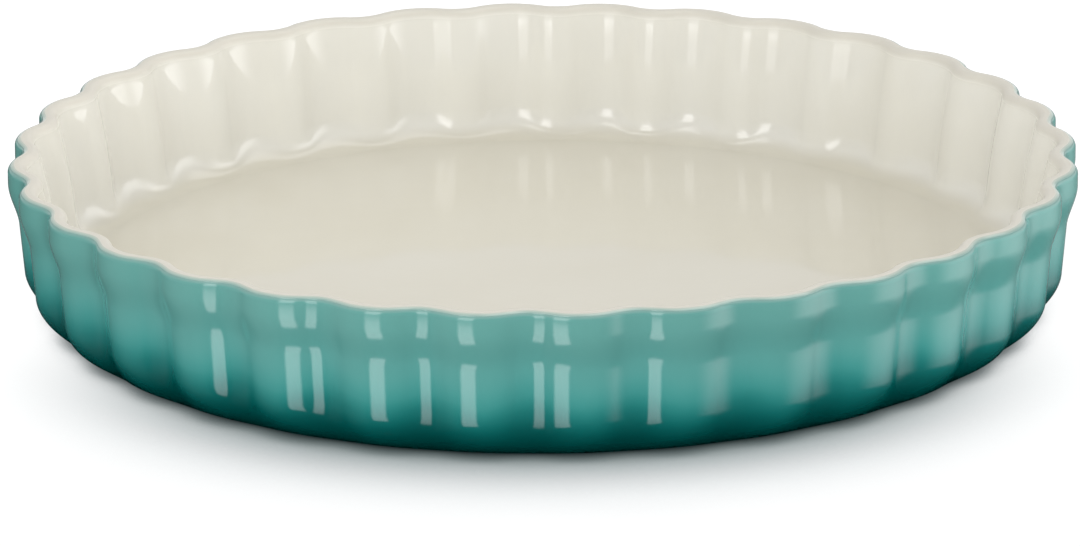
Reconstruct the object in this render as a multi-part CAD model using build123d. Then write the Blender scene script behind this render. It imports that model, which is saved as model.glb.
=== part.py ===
from build123d import *
import os
from math import asin, atan2, cos, pi, radians, sin, sqrt, tan

# A round fluted stoneware pie dish: one pressed and fired clay body, a cream
# glaze inside and over the rim, a graded coloured glaze outside, and a clear
# glaze on the sunk panel underneath. Z is up, the table is at zero height and
# the dish's axis is the Z axis. One flute crest lies on the X axis.
# Every wall is a ring of tangent arcs, a crest and a valley for each flute,
# that follows a profile made of bands: straight, rounded or eased.

# Driving dimensions, in millimetres; angles are in degrees
overall_diameter = 280.0
total_height = 41.5

# Flutes: depth from crest to valley, and how much of the pitch a crest takes
flute_count = 32
flute_depth = 3.2
outer_crest_share = 0.64
inner_crest_share = 0.6

# Outside wall: rim band, the neck that steps in under it, the leaning wall
band_foot_height = 36.5
neck_foot_height = 25.5
neck_step = 2.75
lower_wall_lean = 1.2

# Bottom corner, which turns under to the foot
corner_height = 12.0
foot_diameter = 245.0
corner_fullness_share = 0.46
foot_bare_share = 0.2

# Rim and inside wall
rim_width = 5.0
rim_round = 2.1
inside_draft_angle = 10.0
floor_thickness = 7.0
fillet_height = 7.2
fillet_reach = 8.8
fillet_fullness_share = 0.55

# Foot ring and sunk panel
foot_ring_width = 4.5
panel_recess = 1.2
panel_bare_margin = 1.5

# Glaze coats; the seam lies this far under the top of the bare clay
glaze_thickness = 0.5
panel_glaze_thickness = 0.4
seam_drop = 0.14

# Values that follow from them
half_pitch = pi / flute_count
rim_radius = overall_diameter / 2
foot_radius = foot_diameter / 2
neck_height = band_foot_height - neck_foot_height
wall_slope = lower_wall_lean / (neck_foot_height - corner_height)
inside_slope = tan(radians(inside_draft_angle))
curl_height = total_height - rim_round
seam_height = total_height - glaze_thickness - seam_drop
recess_radius = foot_radius - glaze_thickness - foot_ring_width


def place(radius, angle, height):
    """A point in space from its radius and angle about the dish's axis."""
    return Vector(radius * cos(angle), radius * sin(angle), height)


def flute(level, crest_share):
    """One level's meeting radius of the arcs, and the pole and weight of each arc."""
    height, crest_radius, depth = level
    valley_radius = crest_radius - depth
    crest_part = crest_share * half_pitch
    valley_part = half_pitch - crest_part
    turn = tan(half_pitch / 2)
    from_crest = crest_radius * (sin(valley_part) / turn - cos(valley_part))
    from_valley = valley_radius * (sin(crest_part) / turn - cos(crest_part))
    middle = (from_crest + from_valley) / 2
    meeting = middle + sqrt(middle * middle + crest_radius * valley_radius)
    arcs = []
    for apex_radius, part in ((crest_radius, crest_part), (valley_radius, valley_part)):
        along, across = meeting * cos(part), meeting * sin(part)
        bend = 2 * atan2(apex_radius - along, across)
        arcs.append((along + across * tan(bend), cos(bend)))
    return meeting, arcs


def band_faces(band, crest_share):
    """The faces of one band of wall, two for each flute."""
    rings = [(level, weight, flute(level, crest_share)) for level, weight in band]
    faces = []
    for number in range(flute_count):
        crest = 2 * number * half_pitch
        crest_part = crest_share * half_pitch
        spans = ((crest, crest_part), (crest + half_pitch, half_pitch - crest_part))
        for side, (apex, part) in enumerate(spans):
            poles, weights = [], []
            for (height, _, _), weight, (meeting, arcs) in rings:
                pole_radius, arc_weight = arcs[side]
                start = place(meeting, apex - part, height)
                end = place(meeting, apex + part, height)
                poles.append([start, place(pole_radius, apex, height), end])
                weights.append([weight, weight * arc_weight, weight])
            faces.append(Face.make_bezier_surface(poles, weights))
    return faces


def ring_wire(level, crest_share):
    """The closed outline of tangent arcs at one level."""
    height, crest_radius, depth = level
    meeting, _ = flute(level, crest_share)
    crest_part = crest_share * half_pitch
    arcs = []
    for number in range(flute_count):
        crest = 2 * number * half_pitch
        valley = crest + half_pitch
        start = place(meeting, crest - crest_part, height)
        middle = place(meeting, crest + crest_part, height)
        end = place(meeting, crest + 2 * half_pitch - crest_part, height)
        arcs.append(ThreePointArc(start, place(crest_radius, crest, height), middle))
        arcs.append(ThreePointArc(middle, place(crest_radius - depth, valley, height), end))
    return Wire(arcs)


def plain(*levels):
    """A band whose levels all weigh the same."""
    return [(level, 1) for level in levels]


def blend(first, second, share):
    """A level part of the way from one level to another."""
    return tuple(a + (b - a) * share for a, b in zip(first, second))


def divided(levels, share):
    """A curved band cut in two at a share of its run."""
    low, high = [levels[0]], [levels[-1]]
    while len(levels) > 1:
        levels = [blend(a, b, share) for a, b in zip(levels, levels[1:])]
        low.append(levels[0])
        high.insert(0, levels[-1])
    return plain(*low), plain(*high)


def curl(radius, towards, roundness, top, start, end):
    """A rounded band of the rim between two angles, up from the wall's edge."""
    half = (end - start) / 2
    middle = start + half
    ring = []
    for angle, reach, weight in (
        (start, 1, 1),
        (middle, 1 / cos(half), cos(half)),
        (end, 1, 1),
    ):
        height = top - roundness * (1 - reach * sin(angle))
        offset = towards * roundness * (1 - reach * cos(angle))
        ring.append(((height, radius + offset, flute_depth), weight))
    return ring


def outside_bands(skin):
    """Bands of the outside from the foot up, taken in by the thickness of a skin."""
    edge_radius = rim_radius - skin
    wall_radius = edge_radius - neck_step
    corner_radius = wall_radius - lower_wall_lean
    foot = foot_radius - skin
    corner_handle = corner_fullness_share * corner_height
    foot_handle = corner_fullness_share * (corner_radius - foot)
    foot_strip, corner = divided(
        [
            (0, foot, 0),
            (0, foot + foot_handle, 0),
            (corner_height - corner_handle, corner_radius - wall_slope * corner_handle, flute_depth),
            (corner_height, corner_radius, flute_depth),
        ],
        foot_bare_share,
    )
    third = neck_height / 3
    wall_foot = (corner_height, corner_radius, flute_depth)
    wall_top = (neck_foot_height, wall_radius, flute_depth)
    band_foot = (band_foot_height, edge_radius, flute_depth)
    wall = plain(wall_foot, wall_top)
    neck = plain(
        wall_top,
        (neck_foot_height + third, wall_radius + wall_slope * third, flute_depth),
        (band_foot_height - third, edge_radius, flute_depth),
        band_foot,
    )
    rim_band = plain(band_foot, (curl_height, edge_radius, flute_depth))
    roundness = rim_round - skin
    top = total_height - skin
    seam = asin(1 - (top - seam_height) / roundness)
    below_seam = curl(edge_radius, -1, roundness, top, 0, seam)
    above_seam = curl(edge_radius, -1, roundness, top, seam, pi / 2)
    return [foot_strip, corner, wall, neck, rim_band, below_seam, above_seam]


def inside_bands(skin):
    """Bands of the hollow from the floor up, let out by the thickness of a skin."""
    mouth_radius = rim_radius - rim_width + skin
    floor_height = floor_thickness - skin
    fillet_top = floor_thickness + fillet_height
    wall_foot_radius = mouth_radius - (curl_height - fillet_top) * inside_slope
    floor_radius = wall_foot_radius - fillet_reach
    rise = fillet_fullness_share * (fillet_top - floor_height)
    fillet = plain(
        (floor_height, floor_radius, 0),
        (floor_height, floor_radius + fillet_fullness_share * fillet_reach, 0),
        (fillet_top - rise, wall_foot_radius - rise * inside_slope, flute_depth),
        (fillet_top, wall_foot_radius, flute_depth),
    )
    wall = plain(
        (fillet_top, wall_foot_radius, flute_depth),
        (curl_height, mouth_radius, flute_depth),
    )
    rim = curl(mouth_radius, 1, rim_round - skin, total_height - skin, 0, pi / 2)
    return [fillet, wall, rim]


def outside_faces(bands):
    """The faces of some bands of the outside."""
    return [face for band in bands for face in band_faces(band, outer_crest_share)]


def inside_faces(bands):
    """The faces of some bands of the hollow."""
    return [face for band in bands for face in band_faces(band, inner_crest_share)]


def outside_wire(band, end):
    """The outline of the outside at one end of a band, 0 for its foot, -1 for its top."""
    return ring_wire(band[end][0], outer_crest_share)


def inside_wire(band, end):
    """The outline of the hollow at one end of a band, 0 for its foot, -1 for its top."""
    return ring_wire(band[end][0], inner_crest_share)


def closed(faces):
    """A solid from faces that enclose it."""
    solid = Solid(Shell(faces))
    return solid if solid.volume > 0 else Solid(Shell([-face for face in faces]))


glazed_outside = outside_bands(0)
clay_outside = outside_bands(glaze_thickness)
glazed_hollow = inside_bands(0)
clay_hollow = inside_bands(glaze_thickness)


def stoneware_body():
    """The fired clay, with its bare foot ring and the sunk panel inside it."""
    recess_foot = Wire(Edge.make_circle(recess_radius))
    recess_top = recess_foot.moved(Pos(0, 0, panel_recess))
    faces = outside_faces(clay_outside) + inside_faces(clay_hollow)
    faces.append(Face(outside_wire(clay_outside[-1], -1), [inside_wire(clay_hollow[-1], -1)]))
    faces.append(Face(inside_wire(clay_hollow[0], 0)))
    faces.append(Face(outside_wire(clay_outside[0], 0), [recess_foot]))
    faces.append(Face.extrude(recess_foot.edge(), (0, 0, panel_recess)))
    faces.append(Face(recess_top))
    return closed(faces)


def exterior_glaze():
    """The coat on the outside wall, from just above the foot to the rim's seam."""
    coated = slice(1, -1)
    faces = outside_faces(glazed_outside[coated]) + outside_faces(clay_outside[coated])
    for number, end in ((1, 0), (-2, -1)):
        outer = outside_wire(glazed_outside[number], end)
        faces.append(Face(outer, [outside_wire(clay_outside[number], end)]))
    return closed(faces)


def interior_glaze():
    """The coat on the floor and the inside wall, over the rim to the seam."""
    faces = outside_faces([glazed_outside[-1], clay_outside[-1]])
    faces += inside_faces(glazed_hollow) + inside_faces(clay_hollow)
    outer_seam = outside_wire(glazed_outside[-1], 0)
    faces.append(Face(outer_seam, [outside_wire(clay_outside[-1], 0)]))
    for outside, hollow in ((glazed_outside, glazed_hollow), (clay_outside, clay_hollow)):
        faces.append(Face(outside_wire(outside[-1], -1), [inside_wire(hollow[-1], -1)]))
        faces.append(Face(inside_wire(hollow[0], 0)))
    return closed(faces)


def underside_glaze():
    """The thin coat on the sunk panel, stopping short of the foot ring."""
    coat = Circle(recess_radius - panel_bare_margin)
    return Pos(0, 0, panel_recess - panel_glaze_thickness) * extrude(coat, panel_glaze_thickness)


os.makedirs("parts", exist_ok=True)
for make in (stoneware_body, exterior_glaze, interior_glaze, underside_glaze):
    export_step(make(), f"parts/{make.__name__}.step")
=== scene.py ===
from math import asin, ceil, cos, degrees, pi, radians, sin, tan

import bpy
import numpy as np
from mathutils import Matrix, Vector


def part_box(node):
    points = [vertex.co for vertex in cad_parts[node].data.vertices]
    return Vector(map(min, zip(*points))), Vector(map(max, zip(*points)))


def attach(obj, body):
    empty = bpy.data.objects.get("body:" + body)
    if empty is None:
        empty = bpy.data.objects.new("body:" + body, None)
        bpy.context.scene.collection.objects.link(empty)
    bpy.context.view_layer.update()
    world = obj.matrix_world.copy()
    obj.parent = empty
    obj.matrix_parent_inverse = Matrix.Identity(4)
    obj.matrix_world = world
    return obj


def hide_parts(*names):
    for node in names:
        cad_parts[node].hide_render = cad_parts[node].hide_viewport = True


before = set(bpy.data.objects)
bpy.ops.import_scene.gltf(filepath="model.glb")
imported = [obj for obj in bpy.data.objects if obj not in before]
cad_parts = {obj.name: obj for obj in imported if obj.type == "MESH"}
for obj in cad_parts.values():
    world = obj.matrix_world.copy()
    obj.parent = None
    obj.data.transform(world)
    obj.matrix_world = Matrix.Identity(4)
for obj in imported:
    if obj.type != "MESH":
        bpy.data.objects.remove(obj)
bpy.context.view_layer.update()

# The looks of a fluted, glazed stoneware pie dish. All sizes are in metres and
# angles in degrees. The dish stands on the plane z = 0 with its axis on Z.
_, glaze_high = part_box("exterior_glaze")
_, body_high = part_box("stoneware_body")
_, inside_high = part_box("interior_glaze")

# The dish, as its solids have it
rim_radius = glaze_high.x
total_height = inside_high.z
glaze_thickness = total_height - body_high.z
flute_count = 32
flute_depth = 0.0032
outer_crest_share = 0.64
inner_crest_share = 0.6
band_foot_height = 0.0365
neck_foot_height = 0.0255
neck_step = 0.00275
lower_wall_lean = 0.0012
corner_height = 0.012
foot_radius = 0.1225
corner_fullness_share = 0.46
rim_width = 0.005
rim_round = 0.0021
inside_draft_angle = 10.0
floor_thickness = 0.007
fillet_height = 0.0072
fillet_reach = 0.0088
fillet_fullness_share = 0.55
seam_drop = 0.00014

# The finish that the solids leave out. The coat outside starts at this share of
# the corner's run. The inside wall's middle stands in by half of the bow, as a
# pressed wall's does. Hand finishing takes both coats in by long and short waves,
# each with its depth, its length and its seed.
glaze_foot_share = 0.1
wall_bow = 0.0009
unevenness = ((0.00010, 0.060, 3), (0.00003, 0.017, 5))

half_pitch = pi / flute_count
curl_height = total_height - rim_round
seam_height = total_height - glaze_thickness - seam_drop
wall_slope = lower_wall_lean / (neck_foot_height - corner_height)
inside_slope = tan(radians(inside_draft_angle))

# How fine the meshes are; a bend's run is its length over its height
steps_per_flute = 40
ring_steps = flute_count * steps_per_flute
fine_step = 0.0005
coarse_step = 0.0015
corner_run = 1.6
fillet_run = 1.5
seam_steps = 6
shown_rim_steps = 8
hidden_rim_steps = 4
rim_top_shares = (0.33, 0.67)
least_rise, longest_bend = 1e-9, 1e3
floor_ring_radii = (0.112, 0.094, 0.074, 0.054, 0.035, 0.019, 0.008)


def bezier(levels, count, start=0.0, end=1.0):
    """Levels along a curve whose control levels are given."""
    out = []
    for share in np.linspace(start, end, count + 1):
        row = [np.array(level, float) for level in levels]
        while len(row) > 1:
            row = [a + (b - a) * share for a, b in zip(row, row[1:])]
        out.append(tuple(row[0]))
    return out


def curl(radius, towards, skin, start, end, count):
    """Levels of the rim's rounding between two angles."""
    roundness = rim_round - skin
    levels = []
    for angle in np.linspace(start, end, count + 1):
        height = total_height - skin - roundness * (1 - sin(angle))
        offset = towards * roundness * (1 - cos(angle))
        levels.append((height, radius + offset, flute_depth))
    return levels


def seam_angle(skin):
    """How far up the rim's rounding the seam lies."""
    return asin(1 - (total_height - skin - seam_height) / (rim_round - skin))


def joined(*stretches):
    """One list of levels from stretches that share their end levels."""
    out = list(stretches[0])
    for stretch in stretches[1:]:
        out += stretch[1:]
    return out


def outside_wall(skin, step):
    """Levels of the outside from the bare foot strip's top edge to the seam."""
    edge_radius = rim_radius - skin
    wall_radius = edge_radius - neck_step
    corner_radius = wall_radius - lower_wall_lean
    foot = foot_radius - skin
    handle = corner_fullness_share * corner_height
    foot_handle = corner_fullness_share * (corner_radius - foot)
    third = (band_foot_height - neck_foot_height) / 3
    wall_foot = (corner_height, corner_radius, flute_depth)
    wall_top = (neck_foot_height, wall_radius, flute_depth)
    band_foot = (band_foot_height, edge_radius, flute_depth)
    corner = bezier(
        [
            (0, foot, 0),
            (0, foot + foot_handle, 0),
            (corner_height - handle, corner_radius - wall_slope * handle, flute_depth),
            wall_foot,
        ],
        ceil(corner_height * corner_run / step),
        glaze_foot_share,
    )
    wall = bezier([wall_foot, wall_top], ceil((neck_foot_height - corner_height) / coarse_step))
    neck = bezier(
        [
            wall_top,
            (neck_foot_height + third, wall_radius + wall_slope * third, flute_depth),
            (band_foot_height - third, edge_radius, flute_depth),
            band_foot,
        ],
        ceil((band_foot_height - neck_foot_height) / step),
    )
    band = bezier(
        [band_foot, (curl_height, edge_radius, flute_depth)],
        ceil((curl_height - band_foot_height) / coarse_step),
    )
    rounding = curl(edge_radius, -1, skin, 0, seam_angle(skin), seam_steps)
    return joined(corner, wall, neck, band, rounding)


def over_rim(skin, count):
    """Levels from the seam over the rim's top to its inner edge, with their crest shares."""
    outer = curl(rim_radius - skin, -1, skin, seam_angle(skin), pi / 2, count)
    inner = curl(rim_radius - rim_width + skin, 1, skin, 0, pi / 2, count)
    inner.reverse()
    rows = [(level, outer_crest_share) for level in outer]
    for share in rim_top_shares:
        radius = outer[-1][1] + (inner[0][1] - outer[-1][1]) * share
        blended = outer_crest_share + (inner_crest_share - outer_crest_share) * share
        rows.append(((total_height - skin, radius, flute_depth), blended))
    return rows + [(level, inner_crest_share) for level in inner]


def inside_wall(skin, step):
    """Levels of the hollow from the rim's inner edge down to the flat floor."""
    mouth_radius = rim_radius - rim_width + skin
    floor_height = floor_thickness - skin
    fillet_top = floor_thickness + fillet_height
    wall_foot_radius = mouth_radius - (curl_height - fillet_top) * inside_slope
    floor_radius = wall_foot_radius - fillet_reach
    rise = fillet_fullness_share * (fillet_top - floor_height)
    wall_foot = (fillet_top, wall_foot_radius, flute_depth)
    middle_radius = (mouth_radius + wall_foot_radius) / 2 - wall_bow
    middle = ((curl_height + fillet_top) / 2, middle_radius, flute_depth)
    wall = bezier(
        [(curl_height, mouth_radius, flute_depth), middle, wall_foot],
        ceil((curl_height - fillet_top) / coarse_step),
    )
    fillet = bezier(
        [
            wall_foot,
            (fillet_top - rise, wall_foot_radius - rise * inside_slope, flute_depth),
            (floor_height, floor_radius + fillet_fullness_share * fillet_reach, 0),
            (floor_height, floor_radius, 0),
        ],
        ceil(fillet_height * fillet_run / step),
    )
    return [(level, inner_crest_share) for level in joined(wall, fillet)]


def flute_radius(level, crest_share):
    """Radii round one level, over the ring's angles, on tangent crest and valley arcs."""
    _, crest_radius, depth = level
    valley_radius = crest_radius - depth
    crest_part = crest_share * half_pitch
    valley_part = half_pitch - crest_part
    turn = tan(half_pitch / 2)
    from_crest = crest_radius * (sin(valley_part) / turn - cos(valley_part))
    from_valley = valley_radius * (sin(crest_part) / turn - cos(crest_part))
    middle = (from_crest + from_valley) / 2
    meeting = middle + (middle * middle + crest_radius * valley_radius) ** 0.5
    angle = np.abs((ring_angles + half_pitch) % (2 * half_pitch) - half_pitch)
    on_crest = angle <= crest_part
    radius = np.empty_like(angle)
    for mask, apex_radius, part, off in (
        (on_crest, crest_radius, crest_part, angle),
        (~on_crest, valley_radius, valley_part, half_pitch - angle),
    ):
        along, across = meeting * cos(part), meeting * sin(part)
        # The bend is below zero where the arc is hollow, and long where it is all but straight
        rise = apex_radius - along
        bend = longest_bend
        if abs(rise) > least_rise:
            bend = (across * across + rise * rise) / (2 * rise)
        centre = apex_radius - bend
        off = off[mask]
        root = np.sqrt(bend * bend - (centre * np.sin(off)) ** 2)
        radius[mask] = centre * np.cos(off) + np.sign(bend) * root
    return radius


ring_angles = np.arange(ring_steps) * 2 * pi / ring_steps

# The outside's outline at the rim, as a mean radius and its waves round the dish
outline = np.fft.rfft(flute_radius((0, rim_radius, flute_depth), outer_crest_share)) / ring_steps
outline_mean = float(outline[0].real)
outline_waves = [
    (turns, 2 * float(outline[turns].real))
    for turns in (flute_count, 2 * flute_count, 3 * flute_count)
]


def circle(radius, angles, height):
    """Points round the dish's axis at one height."""
    level = np.full(len(angles), height)
    return np.column_stack((radius * np.cos(angles), radius * np.sin(angles), level))


def wander(points, reach, seed):
    """A smooth uneven value between 0 and 1 at each point, from seeded waves."""
    draw = np.random.default_rng(seed)
    total = np.zeros(len(points))
    wave_count, shortest, longest, spread = 14, 0.7, 1.6, 0.9
    for _ in range(wave_count):
        way = draw.normal(size=3)
        way /= np.linalg.norm(way)
        pace = 2 * pi / (reach * draw.uniform(shortest, longest))
        total += np.sin(points @ way * pace + draw.uniform(0, 2 * pi))
    return np.clip(0.5 + total / (wave_count * spread), 0, 1)


def ring(level, crest_share):
    """The points of one ring round the dish, taken in a little as by hand finishing."""
    points = circle(flute_radius(level, crest_share), ring_angles, level[0])
    amount = sum(depth * wander(points, reach, seed) for depth, reach, seed in unevenness)
    points[:, :2] *= (1 - amount / np.hypot(points[:, 0], points[:, 1]))[:, None]
    return points


def bridge(faces, low_start, high_start):
    """Quads between two whole rings."""
    for step in range(ring_steps):
        following = (step + 1) % ring_steps
        low, low_next = low_start + step, low_start + following
        faces.append((low, low_next, high_start + following, high_start + step))


def cap(points, faces, start, height, flip):
    """Closes a whole ring with rings of halving counts towards the middle."""
    rim_start, here = start, ring_steps
    for radius in floor_ring_radii:
        half = here // 2
        inner = sum(len(p) for p in points)
        points.append(circle(radius, np.arange(half) * 2 * pi / half, height))
        for step in range(half):
            a, b = rim_start + 2 * step, rim_start + 2 * step + 1
            c = rim_start + (2 * step + 2) % here
            d, e = inner + step, inner + (step + 1) % half
            for face in ((a, b, d), (b, e, d), (b, c, e)):
                faces.append(face[::-1] if flip else face)
        rim_start, here = inner, half
    last = tuple(range(rim_start, rim_start + here))
    faces.append(last[::-1] if flip else last)


def mesh_object(name, points, faces, material):
    """A smooth-shaded mesh object."""
    mesh = bpy.data.meshes.new(name)
    mesh.from_pydata(np.vstack(points).tolist(), [], faces)
    mesh.validate()
    mesh.shade_smooth()
    mesh.materials.append(material)
    piece = bpy.data.objects.new(name, mesh)
    bpy.context.scene.collection.objects.link(piece)
    return piece


def exterior_piece(material):
    """The outside coat: up its outer face, in at the seam, and down the clay's face."""
    levels = outside_wall(0, fine_step) + outside_wall(glaze_thickness, coarse_step)[::-1]
    points = [ring(level, outer_crest_share) for level in levels]
    faces = []
    for number in range(len(points)):
        following = (number + 1) % len(points)
        bridge(faces, number * ring_steps, following * ring_steps)
    return mesh_object("exterior_glaze_coat", points, faces, material)


def interior_piece(material):
    """The inside coat: over the rim and down to the floor, then back on the clay's side."""
    shown = over_rim(0, shown_rim_steps) + inside_wall(0, fine_step)[1:]
    hidden = over_rim(glaze_thickness, hidden_rim_steps)
    hidden += inside_wall(glaze_thickness, coarse_step)[1:]
    hidden.reverse()
    points = [ring(level, share) for level, share in shown + hidden]
    floor_edge, total = len(shown) - 1, len(points)
    faces = []
    for number in range(total):
        if number != floor_edge:
            bridge(faces, number * ring_steps, (number + 1) % total * ring_steps)
    cap(points, faces, floor_edge * ring_steps, floor_thickness, False)
    hidden_floor = floor_thickness - glaze_thickness
    cap(points, faces, (floor_edge + 1) * ring_steps, hidden_floor, True)
    return mesh_object("interior_glaze_coat", points, faces, material)


class Nodes:
    """A short way to write a shader tree."""

    def __init__(self, tree):
        self.tree = tree
        tree.nodes.clear()

    def add(self, kind, inputs=None, **settings):
        """A node with its settings and its sockets, each linked or given a value."""
        node = self.tree.nodes.new(kind)
        for key, value in settings.items():
            setattr(node, key, value)
        for key, value in (inputs or {}).items():
            if isinstance(value, bpy.types.NodeSocket):
                self.tree.links.new(value, node.inputs[key])
            else:
                node.inputs[key].default_value = value
        return node

    def maths(self, operation, first, second=0.0, third=0.0):
        inputs = {0: first, 1: second, 2: third}
        return self.add("ShaderNodeMath", inputs, operation=operation).outputs[0]

    def product(self, first, *others):
        """Some values multiplied together."""
        for other in others:
            first = self.maths("MULTIPLY", first, other)
        return first

    def rise(self, value, low, high, start=0.0, end=1.0, kind="SMOOTHSTEP"):
        """A value that eases from start to end while another goes from low to high."""
        inputs = {"Value": value, "From Min": low, "From Max": high, "To Min": start, "To Max": end}
        return self.add("ShaderNodeMapRange", inputs, interpolation_type=kind).outputs[0]

    def vector(self, operation, first, second, output="Vector"):
        inputs = {0: first, "Scale" if operation == "SCALE" else 1: second}
        return self.add("ShaderNodeVectorMath", inputs, operation=operation).outputs[output]

    def along(self, vector, way):
        """How far a vector reaches along a fixed direction."""
        return self.vector("DOT_PRODUCT", vector, way, "Value")

    def ramp(self, factor, stops, mode="LINEAR"):
        """A colour ramp; a stop's colour may be one grey value."""
        node = self.add("ShaderNodeValToRGB", {0: factor})
        node.color_ramp.interpolation = mode
        while len(node.color_ramp.elements) < len(stops):
            node.color_ramp.elements.new(1.0)
        for element, (position, colour) in zip(node.color_ramp.elements, stops):
            element.position = position
            element.color = (*(colour if isinstance(colour, tuple) else (colour,) * 3), 1.0)
        return node.outputs[0]

    def noise(self, vector, scale, detail):
        inputs = {"Vector": vector, "Scale": scale, "Detail": detail}
        return self.add("ShaderNodeTexNoise", inputs).outputs["Fac"]

    def mix(self, factor, first, second, blend="MIX"):
        inputs = {0: factor, 6: first, 7: second}
        return self.add("ShaderNodeMix", inputs, data_type="RGBA", blend_type=blend).outputs[2]

    def layers(self, factor, first, second):
        """Two shaders mixed by a factor."""
        return self.add("ShaderNodeMixShader", {0: factor, 1: first, 2: second}).outputs[0]

    def glow(self, kind, colour, strength):
        """A shader that shines, of the kind for a surface or for the world."""
        return self.add(kind, {"Color": colour, "Strength": strength}).outputs[0]

    def surface(self, colour, roughness, ior, grain, bump_strength, bump_depth):
        """The end of a material: its colour and gloss over a bump of its grain."""
        bump = {"Strength": bump_strength, "Distance": bump_depth, "Height": grain}
        looks = {
            "Base Color": colour,
            "Roughness": roughness,
            "IOR": ior,
            "Normal": self.add("ShaderNodeBump", bump).outputs[0],
        }
        shader = self.add("ShaderNodeBsdfPrincipled", looks)
        self.add("ShaderNodeOutputMaterial", {"Surface": shader.outputs[0]})


def new_material(name):
    """A material, its empty shader tree, and a place on the object to paint by."""
    material = bpy.data.materials.new(name)
    material.use_nodes = True
    n = Nodes(material.node_tree)
    return material, n, n.add("ShaderNodeTexCoord").outputs["Object"]


# Both glazes have the same fine ripple: its scale, detail, strength and depth
ripple_scale, ripple_detail = 420.0, 2.0
ripple_strength, ripple_depth = 0.02, 0.0005

# Cream glaze: its clouds, and a painted shade that makes it darker on the floor
cream_cloud_scale, cream_cloud_detail = 28.0, 3.0
cream_stops = [(0.3, (0.782, 0.763, 0.687)), (0.7, (0.802, 0.787, 0.721))]
floor_shade_reach = (floor_thickness + 0.0002, floor_thickness + 0.004)
floor_shade_stops = [(0.0, (0.867, 0.846, 0.788)), (1.0, (1, 1, 1))]
cream_index = 1.62

# The rim is worn duller, and its top is darker by painted shade
rim_shade_cream = (0.68, 0.65, 0.57)
rim_shade_reach = (curl_height, total_height - 0.0008)
worn_gloss_reach = (curl_height - 0.001, total_height - 0.0012)
cream_roughness, worn_roughness = 0.05, 0.5

# Over the rim's outer rounding the cream thins into the coloured glaze, which is glossy; the
# thinning starts from the rim's painted-shade colour
thin_reach = (-rim_round, -0.0006)
thin_stops = [
    (0.00, (0.680, 0.650, 0.570)),
    (0.20, (0.620, 0.625, 0.550)),
    (0.42, (0.500, 0.560, 0.495)),
    (0.72, (0.350, 0.470, 0.420)),
    (1.00, (0.200, 0.360, 0.330)),
]
thin_gloss_share = 0.45
thin_roughness_change = -0.4

# In the fillet the cream is a little duller, from just over the floor up the wall
fillet_roughness_change = 0.11
fillet_dull_start, fillet_dull_end = (0.0071, 0.0095), (0.010, 0.026)

# Teal glaze: its colours by height, which clouds and the flutes' crests shift
teal_stops = [
    (0.05, (0.000, 0.036, 0.033)),
    (0.20, (0.000, 0.080, 0.074)),
    (0.32, (0.003, 0.153, 0.142)),
    (0.42, (0.038, 0.262, 0.241)),
    (0.56, (0.090, 0.313, 0.289)),
    (0.75, (0.086, 0.276, 0.252)),
    (0.92, (0.108, 0.306, 0.277)),
]
teal_cloud_scale, teal_cloud_detail = 45.0, 2.0
teal_cloud_shift = 0.10
teal_crest_shift = 0.027
teal_roughness, teal_index = 0.09, 1.5

# Painted light: the coloured coat is painted paler towards X, where the dish is lit more brightly.
# It is also thin at the seam
painted_light_reach = (0.3 * rim_radius, 0.9 * rim_radius)
painted_light_share = 1.18
seam_fade = 0.0007

# Bare and clear-glazed clay: the speckle's scale, detail and stops, and its bump
speckle_scale, speckle_detail = 900.0, 4.0
speckle_dark, speckle_light = 0.35, 0.6
speckle_strength, speckle_depth = 0.2, 0.0004
clay_index = 1.5


def outline_inset(n, place, parts):
    """How far a place lies inside the outline of the rim, below zero on the inside."""
    angle = n.maths("ARCTAN2", parts.outputs["Y"], parts.outputs["X"])
    flat = n.vector("MULTIPLY", place, (1, 1, 0))
    length = n.add("ShaderNodeVectorMath", {0: flat}, operation="LENGTH").outputs["Value"]
    inset = n.maths("SUBTRACT", length, outline_mean)
    for turns, size in outline_waves:
        wave = n.maths("COSINE", n.maths("MULTIPLY", angle, float(turns)))
        inset = n.maths("MULTIPLY_ADD", wave, -size, inset)
    return inset


def cream_glaze():
    """Glossy cream glaze, a little cloudy, that thins and dulls on the rim, with painted shade on
    the rim's top and on the floor.
    """
    material, n, place = new_material("cream_glaze")
    parts = n.add("ShaderNodeSeparateXYZ", {0: place})
    level = parts.outputs["Z"]
    colour = n.ramp(n.noise(place, cream_cloud_scale, cream_cloud_detail), cream_stops)
    # Painted shade: the cream is darker on the floor, easing out a few millimetres up the fillet
    colour = n.mix(1.0, colour, n.ramp(n.rise(level, *floor_shade_reach), floor_shade_stops), "MULTIPLY")
    # Painted shade: the rim's top is darker
    colour = n.mix(n.rise(level, *rim_shade_reach), colour, (*rim_shade_cream, 1))
    over = n.rise(outline_inset(n, place, parts), *thin_reach, kind="LINEAR")
    colour = n.mix(n.maths("GREATER_THAN", over, 0.0), colour, n.ramp(over, thin_stops))
    rough = n.rise(level, *worn_gloss_reach, cream_roughness, worn_roughness)
    thin = n.rise(over, 0.0, thin_gloss_share)
    rough = n.maths("MULTIPLY_ADD", thin, thin_roughness_change, rough)
    fillet = n.product(n.rise(level, *fillet_dull_start), n.rise(level, *fillet_dull_end, 1.0, 0.0))
    rough = n.maths("MULTIPLY_ADD", fillet, fillet_roughness_change, rough)
    ripple = n.noise(place, ripple_scale, ripple_detail)
    n.surface(colour, rough, cream_index, ripple, ripple_strength, ripple_depth)
    return material


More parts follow.
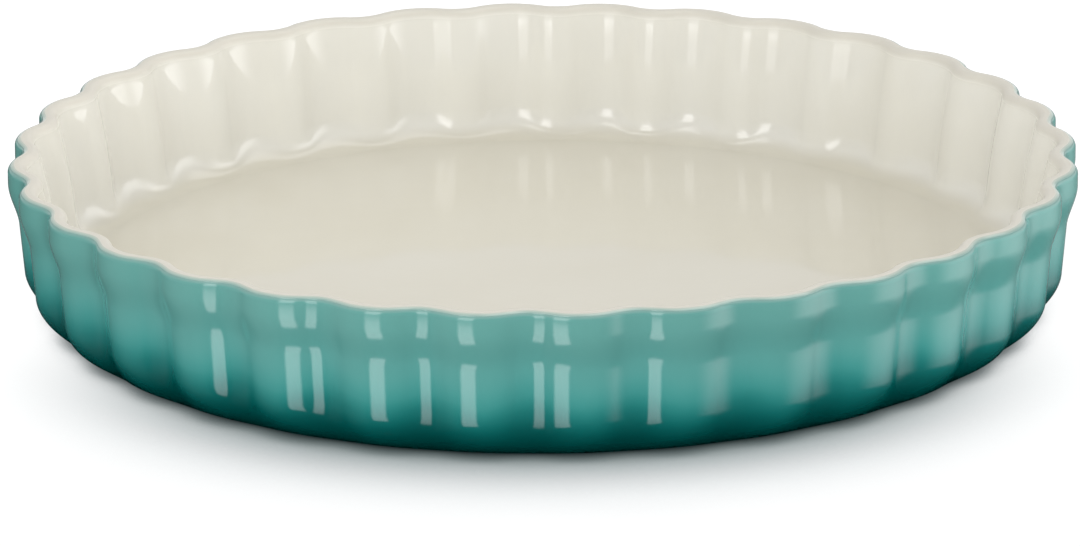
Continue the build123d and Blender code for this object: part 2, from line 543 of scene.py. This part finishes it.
def teal_glaze():
    """Glossy glaze, pale teal under the rim and deep green at the foot."""
    material, n, place = new_material("teal_glaze")
    parts = n.add("ShaderNodeSeparateXYZ", {0: place})
    angle = n.maths("ARCTAN2", parts.outputs["Y"], parts.outputs["X"])
    crest = n.maths("COSINE", n.maths("MULTIPLY", angle, float(flute_count)))
    cloud = n.maths("SUBTRACT", n.noise(place, teal_cloud_scale, teal_cloud_detail), 0.5)
    height = n.maths("DIVIDE", parts.outputs["Z"], total_height)
    height = n.maths("MULTIPLY_ADD", crest, teal_crest_shift, height)
    height = n.maths("MULTIPLY_ADD", cloud, teal_cloud_shift, height)
    colour = n.ramp(height, teal_stops, "B_SPLINE")
    # Painted light: the colour is paler towards X by this share
    pale = n.rise(parts.outputs["X"], *painted_light_reach, 1.0, painted_light_share)
    colour = n.vector("SCALE", colour, pale)
    thin = n.rise(parts.outputs["Z"], seam_height - seam_fade, seam_height, kind="LINEAR")
    colour = n.mix(thin, colour, (*thin_stops[-1][1], 1))
    ripple = n.noise(place, ripple_scale, ripple_detail)
    n.surface(colour, teal_roughness, teal_index, ripple, ripple_strength, ripple_depth)
    return material


def clay(name, roughness, dark, light):
    """Fired stoneware, finely speckled."""
    material, n, place = new_material(name)
    grain = n.noise(place, speckle_scale, speckle_detail)
    colour = n.ramp(grain, [(speckle_dark, dark), (speckle_light, light)])
    n.surface(colour, roughness, clay_index, grain, speckle_strength, speckle_depth)
    return material


# Camera: it looks a little down at the dish, from the photograph's side
view_distance = 2.652
view_elevation = 17.061
view_azimuth = 266.003
view_pitch = 17.752
view_yaw = 0.0235
view_roll = -0.345
focal_length = 338.2
sensor_width = 36.0
clip_end = 100.0


def add_camera():
    """The camera at the photograph's viewing angle."""
    data = bpy.data.cameras.new("camera")
    data.lens = focal_length
    data.sensor_width = sensor_width
    data.clip_end = clip_end
    camera = bpy.data.objects.new("camera", data)
    bpy.context.scene.collection.objects.link(camera)
    azimuth, elevation = radians(view_azimuth), radians(view_elevation)
    heading, pitch = azimuth + pi + radians(view_yaw), radians(view_pitch)
    roll = radians(view_roll)
    level_out, lift = view_distance * cos(elevation), view_distance * sin(elevation)
    spot = Vector((level_out * cos(azimuth), level_out * sin(azimuth), lift + total_height))
    ahead = Vector((cos(heading) * cos(pitch), sin(heading) * cos(pitch), -sin(pitch)))
    right = Vector((sin(heading), -cos(heading), 0))
    up = right.cross(ahead)
    side = right * cos(roll) + up * sin(roll)
    top = up * cos(roll) - right * sin(roll)
    camera.matrix_world = Matrix(
        (
            (side.x, top.x, -ahead.x, spot.x),
            (side.y, top.y, -ahead.y, spot.y),
            (side.z, top.z, -ahead.z, spot.z),
            (0, 0, 0, 1),
        )
    )
    bpy.context.scene.camera = camera


# Table: its painted shadow, a tone by the open share of the sky within this reach, towards the
# camera and away from it, and where the one passes into the other
table_half = 6.0
shadow_reach = 0.3
shadow_samples = 16
front_shadow_stops = [
    (0.00, (0.00, 0.01, 0.01)),
    (0.276, (0.185, 0.225, 0.225)),
    (0.521, (0.500, 0.545, 0.550)),
    (0.624, (0.680, 0.695, 0.700)),
    (0.723, (0.825, 0.840, 0.845)),
    (0.783, (0.915, 0.923, 0.927)),
    (0.850, (0.960, 0.963, 0.966)),
    (0.930, (1.000, 1.000, 1.000)),
]
side_shadow_stops = [
    (0.00, (0.00, 0.01, 0.01)),
    (0.20, (0.310, 0.335, 0.340)),
    (0.36, (0.900, 0.910, 0.913)),
    (0.44, (0.985, 0.988, 0.990)),
    (0.50, (1.000, 1.000, 1.000)),
]
front_span = (0.15, 0.95)

# How much of the tone takes the lamps' light, how much shines, and what it bounces
table_matt_share = 0.25
table_shine, table_side_shine = 0.79, 0.09
table_bounce = (0.9, 0.9, 0.9, 1)

# What the glaze sees in the table: a mirror and a glowing white sheen, both with painted shade near
# the foot
mirror_roughness = 0.01
mirror_stops = [(0.45, 0.0), (0.64, 0.78), (0.82, 1.0)]
sheen_stops = [(0.45, 0.0), (0.62, 0.4), (0.85, 1.0)]
sheen_span, sheen_behind, sheen_ahead = (-0.05, 0.14), 0.1, 0.2


def add_floor():
    """A plain white table with a painted shadow of the dish, which mirrors in the glaze."""
    mesh = bpy.data.meshes.new("floor")
    signs = ((-1, -1), (1, -1), (1, 1), (-1, 1))
    corners = [(table_half * x, table_half * y, 0) for x, y in signs]
    mesh.from_pydata(corners, [], [(0, 1, 2, 3)])
    material = bpy.data.materials.new("table_top")
    material.use_nodes = True
    mesh.materials.append(material)
    n = Nodes(material.node_tree)
    rays = n.add("ShaderNodeLightPath")
    spot = n.add("ShaderNodeNewGeometry").outputs["Position"]
    bearing = radians(view_azimuth)
    ahead = n.along(spot, (cos(bearing), sin(bearing), 0))
    distance = n.add("ShaderNodeVectorMath", {0: spot}, operation="LENGTH").outputs["Value"]
    reach = {"Distance": shadow_reach}
    near = n.add("ShaderNodeAmbientOcclusion", reach, samples=shadow_samples).outputs["AO"]
    side = n.rise(n.maths("DIVIDE", ahead, distance), *front_span, 1.0, 0.0)
    # Painted shadow: ramps over the ambient occlusion darken the table near the dish, one towards
    # the camera, one elsewhere
    shade = n.mix(side, n.ramp(near, front_shadow_stops), n.ramp(near, side_shadow_stops))
    matt = n.mix(1.0, shade, (*(table_matt_share,) * 3, 1), "MULTIPLY")
    matt = n.add("ShaderNodeBsdfDiffuse", {"Color": matt})
    shine = n.maths("MULTIPLY_ADD", side, table_side_shine, table_shine)
    shine = n.glow("ShaderNodeEmission", shade, shine)
    seen = n.add("ShaderNodeAddShader", {0: matt.outputs[0], 1: shine})
    bounce = n.add("ShaderNodeBsdfDiffuse", {"Color": table_bounce})
    seen = n.layers(rays.outputs["Is Camera Ray"], bounce.outputs[0], seen.outputs[0])
    mirror = {"Color": n.ramp(near, mirror_stops), "Roughness": mirror_roughness}
    mirror = n.add("ShaderNodeBsdfGlossy", mirror)
    sheen = n.rise(ahead, *sheen_span, sheen_behind, sheen_ahead)
    sheen = n.glow("ShaderNodeEmission", n.ramp(near, sheen_stops), sheen)
    bright = n.add("ShaderNodeAddShader", {0: mirror.outputs[0], 1: sheen})
    both = n.layers(rays.outputs["Is Glossy Ray"], seen, bright.outputs[0])
    n.add("ShaderNodeOutputMaterial", {"Surface": both})
    floor = bpy.data.objects.new("floor", mesh)
    bpy.context.scene.collection.objects.link(floor)


# Surround, as it lights the dish: its strength by height, how that changes from the
# camera's side to the far side, and how much a dark side takes off low down
fill_stops = [(0.0, 1.0), (0.10, 0.95), (0.35, 0.75), (0.70, 0.50), (1.0, 0.42)]
fill_strength, fill_change_ahead = 1.90, -0.38
dark_side_turn, dark_side_span = -120.0, (-0.25, 0.8)
dark_side_heights, dark_side_change = (0.25, 0.75), -0.74

# Surround, as the glaze mirrors it: a plain sky, in the first mirroring only
sky_stops = [(0.0, 0.75), (0.08, 0.68), (0.30, 0.45), (0.85, 0.30)]
sky_strength, sky_change_ahead = 0.85, -0.45
first_bounce = 1.5

# Soft studio lights that the glaze mirrors. Each has a strength and where it lies,
# by the turn from the camera's bearing (positive to its right), by height, and by
# how far ahead or aside: the start and end of each edge, and its share at both.
studio_lights = [
    (2.2, ("turn", 42, 80, 0, 1), ("turn", 90, 150, 1, 0.09), ("up", 0.34, 0.59, 1, 0)),
    (0.17, ("turn", -65, -45, 1, 0), ("turn", -125, -95, 0, 1), ("up", 0.7, 0.9, 1, 0)),
    (0.216, ("turn", -180, -160, 1, 0), ("up", 0.34, 0.59, 1, 0)),
]
# These show in the first mirroring only, so not through the table: over and beside
first_studio_lights = [
    (
        2.2,
        ("aside", -0.48, -0.42, 0, 1),
        ("aside", -0.16, -0.10, 1, 0),
        ("ahead", -0.05, 0.03, 0, 1),
        ("ahead", 0.42, 0.50, 1, 0),
        ("up", 0.70, 0.76, 0, 1),
        ("up", 0.90, 0.95, 1, 0),
    ),
    (1.2, ("turn", 50, 100, 0, 1), ("turn", 150, 175, 1, 0), ("up", 0.68, 0.76, 0, 1)),
]


def add_world():
    """A white surround for what is seen directly, and a soft graded one for light."""
    world = bpy.data.worlds.new("surround")
    bpy.context.scene.world = world
    world.use_nodes = True
    n = Nodes(world.node_tree)
    rays = n.add("ShaderNodeLightPath")
    way = n.add("ShaderNodeTexCoord").outputs["Generated"]
    bearing = radians(view_azimuth)
    up = n.add("ShaderNodeSeparateXYZ", {0: way}).outputs["Z"]
    ahead = n.along(way, (cos(bearing), sin(bearing), 0))
    aside = n.along(way, (-sin(bearing), cos(bearing), 0))
    turn = n.maths("MULTIPLY", n.maths("ARCTAN2", aside, ahead), degrees(1))
    measures = {"up": up, "ahead": ahead, "aside": aside, "turn": turn}

    def lights(table):
        """The sum of some soft lights."""
        total = 0.0
        for strength, *edges in table:
            shares = [n.rise(measures[measure], *edge) for measure, *edge in edges]
            total = n.maths("ADD", total, n.product(strength, *shares))
        return total

    dark_way = bearing + radians(dark_side_turn)
    dark = n.along(way, (cos(dark_way), sin(dark_way), 0))
    dark = n.product(n.rise(dark, *dark_side_span), n.rise(up, *dark_side_heights, 1.0, 0.0))
    strength = n.product(
        n.maths("MULTIPLY_ADD", ahead, fill_change_ahead, fill_strength),
        n.maths("MULTIPLY_ADD", dark, dark_side_change, 1.0),
    )
    fill = n.glow("ShaderNodeBackground", n.ramp(up, fill_stops), strength)
    first = n.maths("LESS_THAN", rays.outputs["Glossy Depth"], first_bounce)
    plain = n.product(n.maths("MULTIPLY_ADD", ahead, sky_change_ahead, sky_strength), first)
    sky = n.glow("ShaderNodeBackground", n.ramp(up, sky_stops), plain)
    studio = n.maths("MULTIPLY_ADD", lights(first_studio_lights), first, lights(studio_lights))
    studio = n.glow("ShaderNodeBackground", (1, 1, 1, 1), studio)
    glossy = n.add("ShaderNodeAddShader", {0: sky, 1: studio}).outputs[0]
    lit = n.layers(rays.outputs["Is Glossy Ray"], fill, glossy)
    white = n.glow("ShaderNodeBackground", (1, 1, 1, 1), 1.0)
    direct = n.maths("MAXIMUM", rays.outputs["Is Camera Ray"], rays.outputs["Is Transmission Ray"])
    both = n.layers(direct, lit, white)
    n.add("ShaderNodeOutputWorld", {"Surface": both})


# Key light: a strip at a bearing from the camera's. It fades out over shares of its
# half width at both sides and of its height at the top, and dims towards its foot.
key_azimuth = -26.0
key_elevation = 20.25
key_distance = 1.0
key_width = 0.47
key_height = 0.859
key_radiance = 3.0
key_side_fade = 0.35
key_top_fade = 0.14
key_foot_span, key_foot_strength = (0.28, 0.40), 0.30


def add_key_light():
    """A soft rectangular light that faces the dish."""
    data = bpy.data.lights.new("key_strip", "AREA")
    data.shape = "RECTANGLE"
    data.size, data.size_y = key_width, key_height
    # A lamp's energy at which its surface has this radiance
    data.energy = key_radiance * key_width * key_height * 4
    data.use_nodes = True
    n = Nodes(data.node_tree)
    spot = n.add("ShaderNodeNewGeometry").outputs["Parametric"]
    parts = n.add("ShaderNodeSeparateXYZ", {0: spot})
    across, along = parts.outputs["X"], parts.outputs["Y"]
    edge = n.maths("ABSOLUTE", n.maths("MULTIPLY", n.maths("SUBTRACT", across, 0.5), 2.0))
    strength = n.product(
        n.rise(edge, 1.0 - key_side_fade, 1.0, 1.0, 0.0),
        n.rise(along, *key_foot_span, key_foot_strength, 1.0),
        n.rise(along, 1.0 - key_top_fade, 1.0, 1.0, 0.0),
    )
    glow = n.glow("ShaderNodeEmission", (1, 1, 1, 1), strength)
    n.add("ShaderNodeOutputLight", {"Surface": glow})
    lamp = bpy.data.objects.new("key_strip", data)
    bpy.context.scene.collection.objects.link(lamp)
    lamp.visible_camera = False
    bearing, lift = radians(view_azimuth + key_azimuth), radians(key_elevation)
    away = Vector((cos(bearing) * cos(lift), sin(bearing) * cos(lift), sin(lift)))
    lamp.location = away * key_distance
    lamp.rotation_mode = "QUATERNION"
    lamp.rotation_quaternion = away.to_track_quat("Z", "Y")


exterior = exterior_piece(teal_glaze())
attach(exterior, "root")
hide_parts("exterior_glaze")

interior = interior_piece(cream_glaze())
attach(interior, "root")
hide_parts("interior_glaze")

for node, name, roughness, dark, light in (
    ("stoneware_body", "bare_clay", 0.8, (0.50, 0.42, 0.32), (0.66, 0.58, 0.46)),
    ("underside_glaze", "clear_glaze", 0.15, (0.46, 0.38, 0.28), (0.62, 0.53, 0.41)),
):
    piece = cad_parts[node]
    piece.data.materials.clear()
    piece.data.materials.append(clay(name, roughness, dark, light))

add_camera()
add_floor()
add_world()
add_key_light()
bpy.context.scene.view_settings.view_transform = "Standard"
